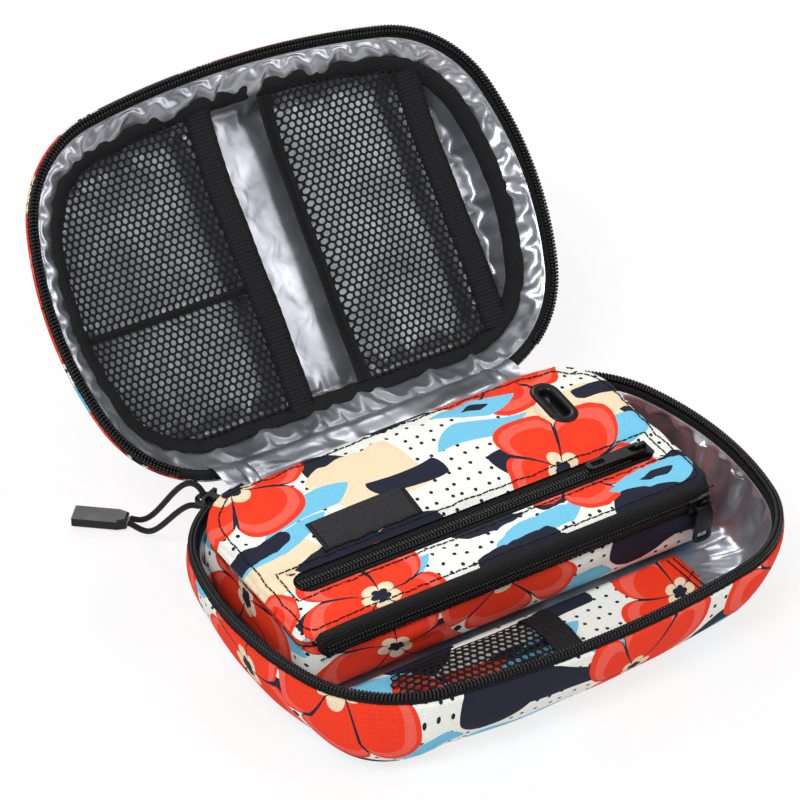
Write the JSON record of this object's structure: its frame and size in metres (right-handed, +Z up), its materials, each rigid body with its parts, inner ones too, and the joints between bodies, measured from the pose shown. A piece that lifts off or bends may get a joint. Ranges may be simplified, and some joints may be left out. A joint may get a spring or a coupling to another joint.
{
  "type": "insulin cooling case",
  "caption": "Soft zipped medical travel case, open, with printed canvas, silver lining, mesh pockets, a pen sleeve and a lift-out cooling pouch.",
  "frame": {"origin": "centre of the base underside", "axes": "+X to the right along the hinge, +Y towards the hinge, +Z up"},
  "size_m": [0.2454, 0.3049, 0.164],
  "materials": {
    "printed_canvas": "woven canvas with a printed pattern",
    "silver_lining": "metallised cloth, softly wrinkled",
    "foam": "closed-cell foam",
    "black_webbing": "ribbed tape",
    "black_mesh": "open knitted mesh",
    "black_moulded": "satin black",
    "black_cord": "braided cord",
    "gel_film": "clear film over blue gel"
  },
  "bodies": {
    "base": {"base_bottom_panel": "printed_canvas", "base_wall_panel": "printed_canvas", "base_floor_foam": "foam", "base_wall_foam": "foam", "base_lining": "silver_lining", "base_zip_tape": "black_webbing", "base_zip_teeth": "black_moulded", "hinge_panel": "printed_canvas", "hinge_lining": "silver_lining", "hinge_binding_left": "silver_lining", "hinge_binding_right": "silver_lining", "pen_panel": "printed_canvas", "pen_pocket_mesh": "black_mesh", "pen_pocket_band": "black_webbing", "main_slider": "black_moulded", "pull_cord_upper": "black_cord", "pull_cord_lower": "black_cord", "pull_grip": "black_moulded"},
    "lid": {"lid_top_panel": "printed_canvas", "lid_wall_panel": "printed_canvas", "lid_top_foam": "foam", "lid_wall_foam": "foam", "lid_lining": "silver_lining", "lid_zip_tape": "black_webbing", "lid_zip_teeth": "black_moulded", "lid_binding": "black_webbing", "left_pocket_mesh": "black_mesh", "left_pocket_band": "black_webbing", "left_pocket_divider": "black_webbing", "right_pocket_mesh": "black_mesh", "right_pocket_band": "black_webbing", "right_pocket_seam": "black_webbing"},
    "pouch": {"pouch_body": "printed_canvas", "pouch_lining": "silver_lining", "gel_pack": "gel_film", "pouch_top_panel": "printed_canvas", "pouch_gusset": "printed_canvas", "grommet": "black_moulded", "blank_label": "black_webbing", "pocket_zip_tape": "black_webbing", "pocket_zip_chain": "black_moulded", "pocket_bag": "silver_lining", "edge_zip_tape": "black_webbing", "edge_zip_chain": "black_moulded"},
    "pocket_slider": {"pocket_zip_slider": "black_moulded"},
    "pocket_pull": {"pocket_zip_pull": "black_moulded"},
    "edge_slider": {"edge_zip_slider": "black_moulded"},
    "edge_pull": {"edge_zip_pull": "black_moulded"}
  },
  "joints": [
    {"name": "lid_hinge", "type": "hinge", "parent": "base", "child": "lid", "pos_m": [0, 0.0881, 0.036], "axis": [-1, 0, 0], "range_deg": [-130, 0], "deforming": ["hinge_panel", "hinge_lining", "hinge_binding_left", "hinge_binding_right"]},
    {"name": "pouch_lift", "type": "slide", "parent": "base", "child": "pouch", "axis": [0, 0, 1], "range_m": [0, 0.13]},
    {"name": "pocket_slider", "type": "slide", "parent": "pouch", "child": "pocket_slider", "axis": [1, 0, 0], "range_m": [-0.16, 0]},
    {"name": "pocket_pull", "type": "hinge", "parent": "pocket_slider", "child": "pocket_pull", "pos_m": [0.079, 0.0053, 0.04626], "axis": [0, 0.9981, 0.061], "range_deg": [0, 170]},
    {"name": "edge_slider", "type": "slide", "parent": "pouch", "child": "edge_slider", "axis": [1, 0, 0], "range_m": [-0.17, 0]},
    {"name": "edge_pull", "type": "hinge", "parent": "edge_slider", "child": "edge_pull", "pos_m": [0.0875, -0.03048, 0.03486], "axis": [0, -0.9981, -0.061], "range_deg": [-25, 90]}
  ]
}
